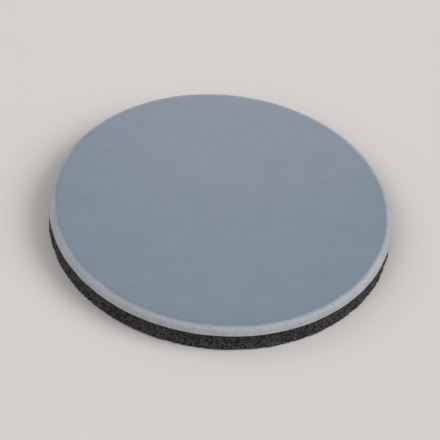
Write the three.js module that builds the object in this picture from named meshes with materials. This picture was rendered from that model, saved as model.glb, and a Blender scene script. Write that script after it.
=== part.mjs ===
// Self-adhesive furniture glide: a slippery PTFE disc bonded to a soft foam pad, with a coat of adhesive under
// the pad. The adhesive holds the glide to the foot of a chair or table leg, and the disc slides on the floor.
// The four layers are laminated as a sheet and die-cut together, so they share one centre and one diameter.
//
// Millimetres, +Z up. The glide lies on its adhesive face, with the sliding face up, as it is sold.
// The origin is the centre of the adhesive face.

import * as THREE from "three";

// Driving dimensions

const glideDiameter = 25; // cut size of the disc, the widest layer

const discThickness = 0.75; // skived PTFE
const bondingThickness = 0.1; // adhesive between the disc and the pad
const padThickness = 1.25; // closed-cell foam
const mountingThickness = 0.1; // adhesive under the pad

const edgeRound = 0.5; // height of the disc's rounded upper edge
const edgeRoll = 0.6; // how far that edge reaches in over the sliding face
const discDraft = 0.04; // how much narrower the disc's side is at the start of its round
const arrisBreak = 0.05; // bevel on the disc's lower corner

const bondingInset = 0.12; // how far the bonding adhesive stops short of the cut edge
const padInset = 0.06; // the foam springs back from the cut by this much at its faces
const padWaist = 0.12; // and by this much more at half its height
const mountingInset = 0.16; // how far the mounting adhesive stops short of the cut edge

const stepsAround = 120; // facets round each layer
const stepsInRound = 5; // the disc's rounded edge gets twice as many facets
const stepsInWaist = 8; // facets up the pad's hollow side

// Where each layer starts, from the adhesive face up

const cutRadius = glideDiameter / 2;
const padBase = mountingThickness;
const bondingBase = padBase + padThickness;
const discBase = bondingBase + bondingThickness;

// Finishes

const ptfe = new THREE.MeshStandardMaterial({ color: 0x8b97a5, roughness: 0.42, metalness: 0 });
const foam = new THREE.MeshStandardMaterial({ color: 0x1d1c1f, roughness: 0.95, metalness: 0 });
const adhesive = new THREE.MeshStandardMaterial({ color: 0x3b3a3d, roughness: 0.25, metalness: 0 });

// A solid of revolution about Z. The half outline runs from the axis at the bottom to the axis at the top.
function revolve(name, halfOutline, stepsInCurves, material) {
  const geometry = new THREE.LatheGeometry(halfOutline.getPoints(stepsInCurves), stepsAround);
  geometry.rotateX(Math.PI / 2);
  const layer = new THREE.Mesh(geometry, material);
  layer.name = name;
  return layer;
}

// A flat film of adhesive, cut square.
function film(name, radius, thickness) {
  const outline = new THREE.Path();
  outline.moveTo(0, 0);
  outline.lineTo(radius, 0);
  outline.lineTo(radius, thickness);
  outline.lineTo(0, thickness);
  return revolve(name, outline, 1, adhesive);
}

// The sliding disc: flat on both faces. The blade breaks its lower corner, and presses its upper edge into a
// quarter of an ellipse that meets the sliding face without a step. The side between them has a slight draft.
function slidingDisc() {
  const sideTop = discThickness - edgeRound;
  const sideTopRadius = cutRadius - discDraft;

  const outline = new THREE.Path();
  outline.moveTo(0, 0);
  outline.lineTo(cutRadius - arrisBreak, 0);
  outline.lineTo(cutRadius, arrisBreak);
  outline.lineTo(sideTopRadius, sideTop);
  outline.absellipse(sideTopRadius - edgeRoll, sideTop, edgeRoll, edgeRound, 0, Math.PI / 2);
  outline.lineTo(0, discThickness);
  return revolve("sliding_disc", outline, stepsInRound, ptfe);
}

// The foam pad. Foam gives way under the blade and springs back, which leaves a shallow hollow all round.
// A quadratic curve reaches half way to its control point, so the control point lies twice as deep.
function foamPad() {
  const faceRadius = cutRadius - padInset;

  const outline = new THREE.Path();
  outline.moveTo(0, 0);
  outline.lineTo(faceRadius, 0);
  outline.quadraticCurveTo(faceRadius - 2 * padWaist, padThickness / 2, faceRadius, padThickness);
  outline.lineTo(0, padThickness);
  return revolve("foam_pad", outline, stepsInWaist, foam);
}

function furnitureGlide() {
  const mounting = film("mounting_adhesive", cutRadius - mountingInset, mountingThickness);
  const pad = foamPad();
  pad.position.z = padBase;
  const bonding = film("bonding_adhesive", cutRadius - bondingInset, bondingThickness);
  bonding.position.z = bondingBase;
  const disc = slidingDisc();
  disc.position.z = discBase;

  const glide = new THREE.Group();
  glide.name = "furniture_glide";
  glide.add(mounting, pad, bonding, disc);
  return glide;
}

export default furnitureGlide();
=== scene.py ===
# %% [markdown]
# # A self-adhesive furniture glide
# The object has the shape of a coin, 25 mm across and 2.2 mm high, and sticks under a chair leg. A thin
# disc of grey-blue PTFE slides on the floor, and a pad of black foam behind it takes up the unevenness. One
# coat of adhesive holds the disc to the pad, and another holds the pad to the chair. Here it lies as it is
# sold, with the sliding face up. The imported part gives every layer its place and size, so this lesson only
# has to give the layers their surfaces and finishes. It starts with the part itself.

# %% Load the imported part
import math

import bpy
import numpy as np
from mathutils import Matrix, Vector


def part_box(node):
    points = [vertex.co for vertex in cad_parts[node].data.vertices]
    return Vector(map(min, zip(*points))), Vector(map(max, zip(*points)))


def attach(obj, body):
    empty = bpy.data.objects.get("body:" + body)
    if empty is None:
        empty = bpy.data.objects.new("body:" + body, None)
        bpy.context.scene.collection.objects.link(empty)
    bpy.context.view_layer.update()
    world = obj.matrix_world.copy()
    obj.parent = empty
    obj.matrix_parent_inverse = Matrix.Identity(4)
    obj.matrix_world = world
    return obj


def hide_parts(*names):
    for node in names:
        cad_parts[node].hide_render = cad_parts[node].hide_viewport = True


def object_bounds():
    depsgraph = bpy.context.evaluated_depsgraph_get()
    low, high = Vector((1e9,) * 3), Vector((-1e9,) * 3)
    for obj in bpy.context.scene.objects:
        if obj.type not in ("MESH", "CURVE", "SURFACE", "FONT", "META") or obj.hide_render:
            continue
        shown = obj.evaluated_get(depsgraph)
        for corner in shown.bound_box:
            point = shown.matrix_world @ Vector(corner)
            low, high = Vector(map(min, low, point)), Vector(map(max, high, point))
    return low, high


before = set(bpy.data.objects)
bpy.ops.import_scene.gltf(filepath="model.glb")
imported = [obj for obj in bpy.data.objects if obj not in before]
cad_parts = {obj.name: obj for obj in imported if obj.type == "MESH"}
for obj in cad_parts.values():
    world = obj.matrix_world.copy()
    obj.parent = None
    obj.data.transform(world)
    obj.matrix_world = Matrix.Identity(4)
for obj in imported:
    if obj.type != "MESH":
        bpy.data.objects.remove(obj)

MM = 0.001
cad_low, cad_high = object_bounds()
print("layers:", sorted(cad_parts))
print("part, mm:", [round(size / MM, 2) for size in cad_high - cad_low])

# %% [markdown]
# ## The camera
# The photograph looks down on the glide at 43.8 degrees, with the flat perspective of a long lens a metre
# away. A long lens at that distance does the same here. The camera is also turned by 6 degrees about its
# own line of sight, so the glide's long axis runs down to the right. Such a turn is awkward to give as an
# angle, so the camera's three axes are worked out as vectors and written into its matrix.

# %% Camera
camera_height = math.radians(43.8)
camera_turn = math.radians(5.95)
camera_distance = 1.03
share_of_picture = 0.78  # of the picture's width, for the glide

centre = (cad_low + cad_high) / 2
glide_width = cad_high.x - cad_low.x

lens = bpy.data.cameras.new("camera")
lens.sensor_width = 36
lens.lens = lens.sensor_width * camera_distance * share_of_picture / glide_width
lens.clip_start, lens.clip_end = 0.05, 20

toward_camera = Vector((0, -math.cos(camera_height), math.sin(camera_height)))
level_right = Vector((1, 0, 0))
level_up = toward_camera.cross(level_right)
right = level_right * math.cos(camera_turn) + level_up * math.sin(camera_turn)
up = toward_camera.cross(right)
axes = Matrix((right, up, toward_camera)).transposed().to_4x4()
camera = bpy.data.objects.new("camera", lens)
camera.matrix_world = Matrix.Translation(centre + toward_camera * camera_distance) @ axes
bpy.context.scene.collection.objects.link(camera)
bpy.context.scene.camera = camera
print("lens, mm:", round(lens.lens))

# %% [markdown]
# ## Arithmetic on surfaces
# A material in Blender is a web of nodes, and a formula is much easier to read than a web. So one small
# class wraps a node's output. A plus, a minus or a times between two of them, or with a plain number, adds
# the Math node that does it. Only numbers are worked out in this way, because a Math node turns a colour
# grey.


# %% A value on a surface
def plug(tree, socket, value):
    """Links a Field to the socket, or writes a plain value into it."""
    if isinstance(value, Field):
        tree.links.new(value.socket, socket)
    else:
        socket.default_value = value


class Field:
    """One output of a node: a number, a place, a colour or a normal that varies over a surface."""

    def __init__(self, tree, socket):
        self.tree, self.socket = tree, socket

    def combine(self, operation, first, second):
        """Adds a Math node that takes the two numbers."""
        node = self.tree.nodes.new("ShaderNodeMath")
        node.operation = operation
        plug(self.tree, node.inputs[0], first)
        plug(self.tree, node.inputs[1], second)
        return Field(self.tree, node.outputs[0])

    def greater(self, other):
        return self.combine("MAXIMUM", self, other)

    def __add__(self, other):
        return self.combine("ADD", self, other)

    def __sub__(self, other):
        return self.combine("SUBTRACT", self, other)

    def __rsub__(self, other):
        return self.combine("SUBTRACT", other, self)

    def __mul__(self, other):
        return self.combine("MULTIPLY", self, other)

    __radd__ = __add__
    __rmul__ = __mul__


print("arithmetic: plus, minus, times, greater")

# %% [markdown]
# ## One class for a finish
# Every finish here is made of the same few things: noise, cells, smooth steps, blends of two colours and a
# bump. Each is a method that adds its nodes and names its inputs. The patterns read Object coordinates,
# which stay on the piece when it moves. They are in metres, so a scale is a number of waves or cells in a
# metre.


# %% A finish
class Finish:
    """One material, built node by node."""

    def __init__(self, name):
        self.material = bpy.data.materials.new(name)
        self.material.use_nodes = True
        self.tree = self.material.node_tree
        self.tree.nodes.clear()
        self.place = self.node("ShaderNodeTexCoord", {}, {}, "Object")

    def node(self, kind, settings, sockets, output=0):
        """Adds a node, makes its settings, fills its sockets, and returns one output as a Field."""
        made = self.tree.nodes.new(kind)
        for name, value in settings.items():
            setattr(made, name, value)
        for name, value in sockets.items():
            plug(self.tree, made.inputs[name], value)
        return Field(self.tree, made.outputs[output])

    def spread(self, scale, turn=0.0):
        """The place on the piece, times the scale. Three scales, one for each axis, stretch a pattern into
        streaks, and turn is the streaks' angle about Z."""
        stretch = scale if isinstance(scale, tuple) else (scale, scale, scale)
        turned = self.node("ShaderNodeMapping", {}, {"Vector": self.place, "Rotation": (0, 0, -turn)})
        return self.node("ShaderNodeMapping", {}, {"Vector": turned, "Scale": stretch})

    def noise(self, scale, detail, turn=0.0):
        """Smooth noise about 0.5. Detail is how many times finer noise is added to it."""
        where = self.spread(scale, turn)
        return self.node("ShaderNodeTexNoise", {}, {"Vector": where, "Scale": 1.0, "Detail": detail})

    def cells(self, scale):
        """How far a point lies from the wall of its cell, in cells: 0 on the wall."""
        where = self.spread(scale)
        settings = {"feature": "DISTANCE_TO_EDGE"}
        return self.node("ShaderNodeTexVoronoi", settings, {"Vector": where, "Scale": 1.0}, "Distance")

    def rise(self, value, low, high):
        """0 below low, 1 above high, and a smooth step between them."""
        return self.node("ShaderNodeMapRange", {"interpolation_type": "SMOOTHSTEP"},
                         {"Value": value, "From Min": low, "From Max": high})

    def mix(self, share, first, second):
        """The first colour where share is 0, and the second where it is 1. A Mix node has inputs of one name
        for each kind of data, so the two colours go in by number."""
        settings = {"data_type": "RGBA"}
        return self.node("ShaderNodeMix", settings, {0: share, 6: first, 7: second}, 2)

    def bump(self, height, depth):
        """A normal that leans with height, whose 0 to 1 is worth depth in metres."""
        return self.node("ShaderNodeBump", {}, {"Height": height, "Distance": depth})

    def surface(self, sockets):
        """Closes the material with a Principled shader."""
        shader = self.node("ShaderNodeBsdfPrincipled", {}, sockets)
        end = self.tree.nodes.new("ShaderNodeOutputMaterial")
        self.tree.links.new(shader.socket, end.inputs["Surface"])
        return self.material


print("finish: spread, noise, cells, rise, mix, bump, surface")

# %% [markdown]
# ## One builder for round surfaces
# Each layer is a grid. Its rows follow the layer's half outline from the axis below to the axis above, and
# its columns go round the axis. A lathe or a Screw modifier would do for true circles. Here the grid is
# worked out as whole arrays instead, so a row can stray from a circle at no cost, and no loop goes over its
# points.


# %% Round surfaces
def column_angles(columns):
    """The angle of each column about the axis: its number times 2 pi / columns."""
    return 2 * np.pi * np.arange(columns) / columns


def round_piece(name, radius, height, columns):
    """Point (row, column) lies at its column's angle, at radius[row, column] from the axis and at
    height[row, column]. A fan of triangles closes the first and the last row to a point on the axis."""
    rows = len(radius)
    turn = column_angles(columns)
    radius, height = (np.broadcast_to(grid, (rows, columns)) for grid in (radius, height))
    rings = np.stack([radius * np.cos(turn), radius * np.sin(turn), height], axis=-1).reshape(-1, 3)
    poles = np.array([[0, 0, height[0].mean()], [0, 0, height[-1].mean()]])
    points = np.vstack([rings, poles])
    low_pole, high_pole = rows * columns, rows * columns + 1

    here = np.arange(columns)
    after = np.roll(here, -1)
    below = np.arange(rows - 1)[:, None] * columns
    above = below + columns
    walls = np.stack([below + here, below + after, above + after, above + here], axis=-1).reshape(-1, 4)
    last = (rows - 1) * columns
    under = np.stack([np.full(columns, low_pole), after, here], axis=-1)
    over = np.stack([np.full(columns, high_pole), last + here, last + after], axis=-1)

    corners = np.concatenate([walls.ravel(), under.ravel(), over.ravel()]).astype(np.int32)
    sides = np.concatenate([np.full(len(walls), 4), np.full(2 * columns, 3)])
    mesh = bpy.data.meshes.new(name)
    mesh.vertices.add(len(points))
    mesh.vertices.foreach_set("co", points.astype(np.float32).ravel())
    mesh.loops.add(len(corners))
    mesh.loops.foreach_set("vertex_index", corners)
    mesh.polygons.add(len(sides))
    mesh.polygons.foreach_set("loop_start", (np.cumsum(sides) - sides).astype(np.int32))
    mesh.update(calc_edges=True)
    mesh.shade_smooth()
    piece = bpy.data.objects.new(name, mesh)
    bpy.context.scene.collection.objects.link(piece)
    print(name, "triangles:", int((sides - 2).sum()))
    return piece


# %% [markdown]
# ## The sliding disc
# PTFE is skived from a block as a band, so it carries faint straight lines, and the discs are punched from
# the band. The blade drags the upper edge into a roll and leaves the side pale and finely scored. The
# outline is the part's own, with many more rows: the lower face, a broken corner, a side with a slight
# draft, a quarter of an ellipse and the flat face.

# %% Sliding disc, outline
disc_low, disc_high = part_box("sliding_disc")
disc_radius = disc_high.x
disc_thickness = disc_high.z - disc_low.z
edge_round = 0.5 * MM  # height of the roll
edge_roll = 0.6 * MM  # how far the roll reaches in over the face
disc_draft = 0.04 * MM  # how much narrower the side is at the foot of the roll
arris_break = 0.05 * MM  # bevel on the lower corner

side_foot = disc_low.z + arris_break
side_top = disc_high.z - edge_round
face_radius = disc_radius - disc_draft - edge_roll

under_shares = np.linspace(0.02, 0.98, 6)  # of the disc's radius
side_shares = np.linspace(0, 1, 12)  # of the side's height
quarter = np.linspace(0, np.pi / 2, 22)
face_shares = np.linspace(0.985, 0.015, 56)  # of the flat face's radius

under_rows = np.column_stack([disc_radius * under_shares, np.full_like(under_shares, disc_low.z)])
corner_row = [[disc_radius - arris_break, disc_low.z]]
side_rows = np.column_stack([disc_radius - disc_draft * side_shares,
                             side_foot + (side_top - side_foot) * side_shares])
roll_rows = np.column_stack([face_radius + edge_roll * np.cos(quarter),
                             side_top + edge_round * np.sin(quarter)])
face_rows = np.column_stack([face_radius * face_shares, np.full_like(face_shares, disc_high.z)])
disc_outline = np.vstack([under_rows, corner_row, side_rows, roll_rows[1:], face_rows])
print("disc outline rows:", len(disc_outline))

# %% [markdown]
# The disc isn't a perfect circle. The blade strays by a hundredth of a millimetre and scores the side up
# and down, and the sliding face is flat only to a few thousandths. Each of these is a sum of waves, faded
# in where it belongs. A fixed seed gives the same disc each time.

# %% Sliding disc, relief
disc_columns = 720
wander_start = 0.9 * disc_radius  # further in, the rings stay true circles
blade_wander, wander_waves = 0.012 * MM, np.arange(2, 40)
score_depth, score_waves = 0.004 * MM, np.arange(90, 170)
swell_height, swell_count = 0.0006 * MM, 14
swell_lengths = (3 * MM, 9 * MM)


def wander(random, waves, columns):
    """A closed random line round a circle, about 0 and about 1 high: a sum of cosines with the given numbers
    of waves in a turn, each with its own random height and start."""
    start = random.uniform(0, 2 * np.pi, len(waves))
    size = random.normal(0, 1, len(waves)) / math.sqrt(len(waves))
    return (size[:, None] * np.cos(np.outer(waves, column_angles(columns)) + start[:, None])).sum(axis=0)


random = np.random.default_rng(11)
row_radius, row_height = disc_outline[:, :1], disc_outline[:, 1:]
outward = np.clip((row_radius - wander_start) / (disc_radius - wander_start), 0, 1)
lowness = np.clip((disc_high.z - row_height) / disc_thickness, 0, 1)
cut_line = blade_wander * wander(random, wander_waves, disc_columns)
scores = score_depth * wander(random, score_waves, disc_columns)
disc_surface_radius = row_radius + outward * (cut_line + lowness * scores)

swell = np.zeros((len(disc_outline), disc_columns))
x, y = row_radius * np.cos(column_angles(disc_columns)), row_radius * np.sin(column_angles(disc_columns))
for _ in range(swell_count):
    along = random.uniform(0, 2 * np.pi)
    length = random.uniform(*swell_lengths)
    start = random.uniform(0, 2 * np.pi)
    swell += np.cos(2 * np.pi * (x * math.cos(along) + y * math.sin(along)) / length + start)
on_face = np.clip((row_height - side_top) / edge_round, 0, 1)
disc_surface_height = row_height + on_face * swell_height * swell

disc = round_piece("ptfe_sliding_disc", disc_surface_radius, disc_surface_height, disc_columns)

# %% [markdown]
# The finish of the disc has three zones. The face is satin and grey-blue, with the skiving lines, a soft
# mottle from the filler and a fine grain. The roll is the same plastic stretched pale by the blade, and the
# side below it is scored up and down. A smooth step on the distance from the axis parts the first two, and
# one on the height the other two. Noise is added to that distance, so that the border isn't a drawn circle.
# A little subsurface light makes the plastic waxy.

# %% Sliding disc, finish
face_colour = (0.188, 0.239, 0.300, 1)
face_shade = (0.154, 0.200, 0.257, 1)
edge_colour = (0.433, 0.453, 0.487, 1)
edge_shade = (0.308, 0.332, 0.370, 1)
edge_start, edge_end = 0.56 * MM, 0.20 * MM  # in from the cut, where the pale edge fades in
border_ripple, border_drift = 0.10 * MM, 0.14 * MM  # how far the border strays, quickly and slowly
side_fade = 0.15 * MM  # above and below the foot of the roll, where the scoring fades out
skiving_angle = math.radians(17)
plastic_relief = 0.0025 * MM
glow_depth = 0.25 * MM  # how far light travels in the plastic


def ptfe_finish():
    """Grey-blue skived PTFE with a pale punched edge."""
    ptfe = Finish("ptfe_grey_blue")
    flat_place = ptfe.node("ShaderNodeVectorMath", {"operation": "MULTIPLY"}, {0: ptfe.place, 1: (1, 1, 0)})
    from_axis = ptfe.node("ShaderNodeVectorMath", {"operation": "LENGTH"}, {0: flat_place}, "Value")
    height_here = ptfe.node("ShaderNodeSeparateXYZ", {}, {"Vector": ptfe.place}, "Z")

    mottle = ptfe.noise(scale=420, detail=4.0)
    grain = ptfe.noise(scale=9000, detail=2.0)
    skiving = ptfe.noise(scale=(70, 7000, 70), detail=4.0, turn=skiving_angle)
    scoring = ptfe.noise(scale=(6500, 6500, 250), detail=2.0)

    border = from_axis + (grain - 0.5) * border_ripple + (mottle - 0.5) * border_drift
    edge = ptfe.rise(border, low=disc_radius - edge_start, high=disc_radius - edge_end)
    roll = ptfe.rise(height_here, low=side_top - side_fade, high=side_top + side_fade)

    face_tone = ptfe.rise(mottle * 0.25 + grain * 0.50 + skiving * 0.25, low=0.30, high=0.70)
    grain_share = roll * 0.6
    marks = scoring * (1 - grain_share) + grain * grain_share
    edge_tone = ptfe.rise(marks * 0.75 + mottle * 0.25, low=0.28, high=0.66)
    face = ptfe.mix(face_tone, face_shade, face_colour)
    rim = ptfe.mix(edge_tone, edge_shade, edge_colour)

    face_relief = skiving * 0.6 + grain * 0.4
    relief = face_relief * (1 - edge) + marks * edge
    return ptfe.surface({
        "Base Color": ptfe.mix(edge, face, rim),
        "Roughness": 0.40 + grain * 0.10 + edge * 0.12,
        "IOR": 1.38,
        "Subsurface Weight": 0.25,
        "Subsurface Radius": (0.9, 1.0, 1.1),
        "Subsurface Scale": glow_depth,
        "Normal": ptfe.bump(relief, plastic_relief),
    })


def put_on(piece, node, material):
    """Lets the piece stand for a CAD node of the one rigid body: it takes the material and hangs on the
    body's empty, and the node is hidden.
    """
    piece.data.materials.append(material)
    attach(piece, "root")
    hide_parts(node)
    print(piece.name, "stands for", node, "in", material.name)


put_on(disc, "sliding_disc", ptfe_finish())

# %% [markdown]
# ## The foam pad
# The pad is closed-cell foam. Punching opens the cells along its side, and each open cell is a small round
# pit. A bump map can't notch the outline, so the pits are real. The side is divided into small squares with
# one bubble in each, at a random place and of a random size, and a point is pressed in by the deepest
# bubble near it. Cut foam springs back, so the whole side is a little hollow too, by a parabola, for which
# 4 s (1 - s) is 0 at both faces and 1 halfway between. The pad is die-cut and lies flat, so it is worked out
# as it is, and no cloth is simulated.

# %% Foam pad, side and pits
pad_low, pad_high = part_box("foam_pad")
pad_radius = pad_high.x
pad_thickness = pad_high.z - pad_low.z
pad_waist = 0.12 * MM  # how deep the side is hollow at half its height
side_slack, slack_waves = 0.02 * MM, np.arange(3, 60)  # how far the soft side strays from a circle
pad_columns = 1960
pad_side_rows = 42

cell_size = 0.23 * MM  # side of a square
bubble_places = (0.1, 0.9)  # of the square's side
bubble_sizes = (0.34, 0.66)  # bubble's radius, in sides of a square
bubble_depths = (0.15, 0.75)  # how deep its centre is sunk, in bubble's radii


def cell_pits(random, across, upward, girth, tall):
    """How deep each point is pressed in. A bubble of radius b at distance d from a point, with its centre
    sunk by s, opens a pit of depth sqrt(b b - d d) - s there. across and upward are the point's place on the
    side rolled out flat, which is girth by tall in size. The squares meet again where the side closes on
    itself, and a point is tested against the bubbles of its own square and the eight round it."""
    around_count, up_count = int(girth / cell_size), int(tall / cell_size) + 1
    shape = (around_count, up_count)
    middle_across, middle_up = random.uniform(*bubble_places, shape), random.uniform(*bubble_places, shape)
    bubble = cell_size * random.uniform(*bubble_sizes, shape)
    sunk = bubble * random.uniform(*bubble_depths, shape)
    column = np.floor(across / girth * around_count).astype(int)
    row = np.floor(upward / tall * up_count).astype(int)
    deepest = np.zeros(np.broadcast_shapes(across.shape, upward.shape))
    for step_across in (-1, 0, 1):
        for step_up in (-1, 0, 1):
            near_column, near_row = column + step_across, row + step_up
            at = (near_column % around_count, np.clip(near_row, 0, up_count - 1))
            gap_across = across - (near_column + middle_across[at]) * girth / around_count
            gap_up = upward - (near_row + middle_up[at]) * tall / up_count
            square = bubble[at] ** 2 - gap_across ** 2 - gap_up ** 2
            deepest = np.maximum(deepest, np.sqrt(np.maximum(square, 0)) - sunk[at])
    return deepest


random = np.random.default_rng(23)
side_share = np.linspace(0, 1, pad_side_rows)[:, None]
side_hollow = 4 * pad_waist * side_share * (1 - side_share)
girth = 2 * np.pi * pad_radius
side_across = (np.arange(pad_columns) * girth / pad_columns)[None, :]
pits = cell_pits(random, side_across, side_share * pad_thickness, girth, pad_thickness)
slack = side_slack * wander(random, slack_waves, pad_columns)
side_radius = pad_radius - side_hollow - pits + slack
print("pits, mm: mean", round(float(pits.mean()) / MM, 3), "deepest", round(float(pits.max()) / MM, 3))

# %% [markdown]
# The faces above and below are flat and hidden, so they take only a few rings, the last of them a little
# inside the deepest pit. With them the pad is one closed grid like the disc. The mesh also keeps, as an
# attribute, how deep each point lies in its pit, which the finish reads to paint shade into the pits.

# %% Foam pad, whole
ring_shares = np.array([0.03, 0.5, 0.9, 0.972])[:, None]  # of the pad's radius
face_rings = ring_shares * pad_radius * np.ones((1, pad_columns))
pad_surface_radius = np.vstack([face_rings, side_radius, face_rings[::-1]])
pad_surface_height = np.vstack([
    np.full_like(ring_shares, pad_low.z),
    pad_low.z + side_share * pad_thickness,
    np.full_like(ring_shares, pad_high.z),
])
pad = round_piece("closed_cell_foam_pad", pad_surface_radius, pad_surface_height, pad_columns)

no_pits = np.zeros_like(face_rings)
at_the_poles = [0, 0]
pit_share = np.vstack([no_pits, pits / pits.max(), no_pits])
pit_values = np.append(pit_share.ravel(), at_the_poles).astype(np.float32)
pad.data.attributes.new("pit", "FLOAT", "POINT").data.foreach_set("value", pit_values)
print("pad rows:", len(pit_share), "share of open cells:", round(float((pits > 0).mean()), 2))

# %% [markdown]
# Black foam is dull, because its open cells trap the light, but the thin walls between them catch a little.
# The finish paints that in as shade. It reads the depth that the mesh keeps: painted shade, nearly black, at
# the bottom of a pit, and a little greyer on the walls. Noise could only have guessed where the pits are.

# %% Foam pad, finish
# nearly black: the foam's dark tone and the painted shade at the bottom of the pits
foam_dark_and_pit_shade = (0.007, 0.007, 0.0075, 1)
foam_wall = (0.050, 0.047, 0.051, 1)
foam_relief = 0.006 * MM


def foam_finish():
    """Black closed-cell foam with a cut side, and painted shade at the bottom of its pits."""
    foam = Finish("foam_black")
    grain = foam.noise(scale=16000, detail=3.0)
    patches = foam.noise(scale=900, detail=2.0)
    pit = foam.node("ShaderNodeAttribute", {"attribute_name": "pit"}, {}, "Fac")
    # the deeper the pit, the darker the colour: painted shade
    tone_and_pit_shade = foam.rise(grain * 0.5 + patches * 0.5 - pit * 0.9, low=0.10, high=0.60)
    return foam.surface({
        "Base Color": foam.mix(tone_and_pit_shade, foam_dark_and_pit_shade, foam_wall),
        "Roughness": 0.62 + patches * 0.30,
        "Specular IOR Level": 0.28,
        "Normal": foam.bump(grain, foam_relief),
    })


put_on(pad, "foam_pad", foam_finish())

# %% [markdown]
# ## The two coats of adhesive
# An adhesive coat is a clear film a tenth of a millimetre thick, and black foam shows through it. Its edge
# is never cut as clean as the plastic: it draws back unevenly behind the blade. A coat is a round grid too,
# and both coats come from one function.

# %% Adhesive coats
film_columns = 720
film_edge_rows = 9
flat_shares = np.array([0.03, 0.5, 0.97])  # of the film's radius
edge_bulge = 0.4  # depth of the rounded edge, in thicknesses
draw_back, draw_back_waves = 0.03 * MM, np.arange(2, 90)


def adhesive_coat(name, node, seed):
    """A flat film in the place of a CAD node. Its edge is half an ellipse as high as the film is thick.
    Outside the last flat ring, a wandering line moves the edge in and out by a few hundredths of a
    millimetre."""
    low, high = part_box(node)
    thickness = high.z - low.z
    middle = (low.z + high.z) / 2
    flat_rings = high.x * flat_shares
    edge_depth = edge_bulge * thickness
    half_turn = np.linspace(-np.pi / 2, np.pi / 2, film_edge_rows)
    edge_radius = high.x - edge_depth + edge_depth * np.cos(half_turn)
    edge_height = middle + thickness / 2 * np.sin(half_turn)

    radius = np.concatenate([flat_rings, edge_radius, flat_rings[::-1]])[:, None]
    under, over = np.full_like(flat_rings, low.z), np.full_like(flat_rings, high.z)
    height = np.concatenate([under, edge_height, over])
    at_edge = np.clip((radius - flat_rings[-1]) / (high.x - flat_rings[-1]), 0, 1)
    edge_line = draw_back * wander(np.random.default_rng(seed), draw_back_waves, film_columns)
    return round_piece(name, radius + at_edge * edge_line, height[:, None], film_columns)


bonding = adhesive_coat("bonding_adhesive_coat", "bonding_adhesive", seed=31)
mounting = adhesive_coat("mounting_adhesive_coat", "mounting_adhesive", seed=37)

# %% [markdown]
# The adhesive is glossy and a little uneven. The foam's cells show through it as hollows darkened with
# painted shade between greyer walls, and small pale blisters show where air stayed under it. A Voronoi
# texture is made of such cells. One finish serves both coats.

# %% Adhesive finish
# painted shade in the hollows of the foam's cells, seen through the film
hollow_shade_seen = (0.010, 0.010, 0.011, 1)
wall_seen = (0.050, 0.049, 0.051, 1)
blister_seen = (0.130, 0.128, 0.124, 1)
film_relief = 0.010 * MM


def adhesive_finish():
    """Clear acrylic adhesive over black foam, with painted shade in the foam's hollows."""
    coat = Finish("adhesive_clear_over_black")
    unevenness = coat.noise(scale=450, detail=3.0)
    wall = 1 - coat.rise(coat.cells(scale=1 / cell_size), low=0.02, high=0.22)
    blister = coat.rise(coat.noise(scale=2600, detail=2.0), low=0.62, high=0.74)
    # darker towards the middle of each cell: painted shade in the hollows
    foam_seen_and_hollow_shade = coat.mix(wall * 0.4 + unevenness * 0.5, hollow_shade_seen, wall_seen)
    return coat.surface({
        "Base Color": coat.mix(blister, foam_seen_and_hollow_shade, blister_seen),
        "Roughness": 0.14 + unevenness * 0.16 + wall * 0.10,
        "IOR": 1.47,
        "Normal": coat.bump(blister * 0.5 + wall * 0.2 + unevenness, film_relief),
    })


clear_adhesive = adhesive_finish()
put_on(bonding, "bonding_adhesive", clear_adhesive)
put_on(mounting, "mounting_adhesive", clear_adhesive)

# %% [markdown]
# ## The floor
# The glide lies on a plain pale ground, dull like paper. It is wide enough to fill the picture from any
# side, and it isn't hung on the glide's body, so it isn't part of the object.

# %% Floor
floor_reach = 3.0
floor_colour = (0.709, 0.676, 0.661, 1)
floor_points = [(-floor_reach, -floor_reach, 0), (floor_reach, -floor_reach, 0),
                (floor_reach, floor_reach, 0), (-floor_reach, floor_reach, 0)]
floor_mesh = bpy.data.meshes.new("floor")
floor_mesh.from_pydata(floor_points, [], [(0, 1, 2, 3)])
floor = bpy.data.objects.new("floor", floor_mesh)
floor.location.z = cad_low.z
bpy.context.scene.collection.objects.link(floor)

floor_finish = Finish("floor_pale").surface({
    "Base Color": floor_colour,
    "Roughness": 0.6,
    "Specular IOR Level": 0.1,
})
floor_mesh.materials.append(floor_finish)
print("floor at", floor.location.z)

# %% [markdown]
# ## The lamps
# The glide's shadow falls to the left, so the main light is a wide soft one on the right. A weaker one in
# front keeps the near side of the floor bright, and the weakest, on the left, keeps the shadow from growing
# too deep. All three are Sun lamps, because they light the whole floor evenly. A small card close behind
# the glide shows only in gloss. It makes the far side of the face a little lighter, which tells the eye
# that the plastic is satin.


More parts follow.
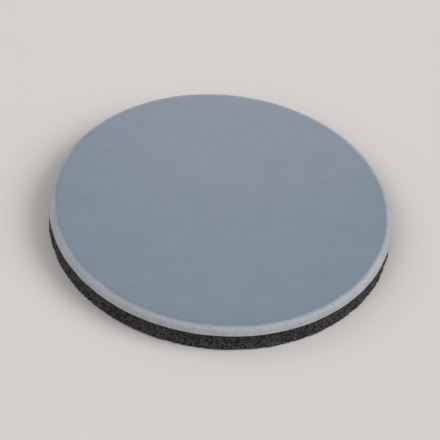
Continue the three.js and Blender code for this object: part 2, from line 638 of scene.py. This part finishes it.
# %% Lamps
def place_lamp(lamp, azimuth, height, distance):
    """Puts a lamp at a distance from the glide, facing it. Azimuth is in degrees round from +X, and height in
    degrees above the floor."""
    round_from_x, above = math.radians(azimuth), math.radians(height)
    direction = Vector((math.cos(round_from_x) * math.cos(above), math.sin(round_from_x) * math.cos(above),
                        math.sin(above)))
    placed = bpy.data.objects.new(lamp.name, lamp)
    placed.visible_camera = False
    placed.location = centre + direction * distance
    placed.rotation_mode = "QUATERNION"
    placed.rotation_quaternion = direction.to_track_quat("Z", "Y")
    bpy.context.scene.collection.objects.link(placed)
    return placed


def far_softbox(name, azimuth, height, spread, strength):
    """A Sun lamp. Spread is its width in degrees of sky, and its distance has no effect on its light."""
    lamp = bpy.data.lights.new(name, "SUN")
    lamp.angle = math.radians(spread)
    lamp.energy = strength
    place_lamp(lamp, azimuth, height, distance=1.0)


def gloss_card(name, azimuth, height, distance, size, power):
    """A square Area lamp that shows only in gloss. A dull surface gets neither light nor shadow from it."""
    lamp = bpy.data.lights.new(name, "AREA")
    lamp.size = size
    lamp.energy = power
    place_lamp(lamp, azimuth, height, distance).visible_diffuse = False


far_softbox("key_light", azimuth=-6, height=40, spread=45, strength=1.79)
far_softbox("fill_light", azimuth=-120, height=45, spread=40, strength=0.70)
far_softbox("left_light", azimuth=165, height=35, spread=40, strength=0.38)
gloss_card("sheen_card", azimuth=90, height=30, distance=0.05, size=0.03, power=0.010)
print("lamps:", [lamp.name for lamp in bpy.data.lights])

# %% [markdown]
# ## The room
# The world gives the rest of the light. A world that is bright enough to show as a pale ground would light
# the glide too flatly, so its strength depends on what asks for it: the camera and reflections get the pale
# ground, and everything else gets the weaker light of the room.

# %% Room
room_light, ground_shown = 0.330, 0.95

world = bpy.data.worlds.new("pale_room")
world.use_nodes = True
bpy.context.scene.world = world
air = world.node_tree
air.nodes.clear()
path = air.nodes.new("ShaderNodeLightPath")
to_camera, in_gloss, through_glass = (
    Field(air, path.outputs[ray]) for ray in ("Is Camera Ray", "Is Glossy Ray", "Is Transmission Ray"))
seen = to_camera.greater(in_gloss).greater(through_glass)
background = air.nodes.new("ShaderNodeBackground")
background.inputs["Color"].default_value = (1.0, 1.0, 1.0, 1)
plug(air, background.inputs["Strength"], seen * (ground_shown - room_light) + room_light)
air.links.new(background.outputs[0], air.nodes.new("ShaderNodeOutputWorld").inputs["Surface"])

bpy.context.scene.view_settings.view_transform = "Standard"
print("room:", world.name, "strength", room_light, "shown as", ground_shown)
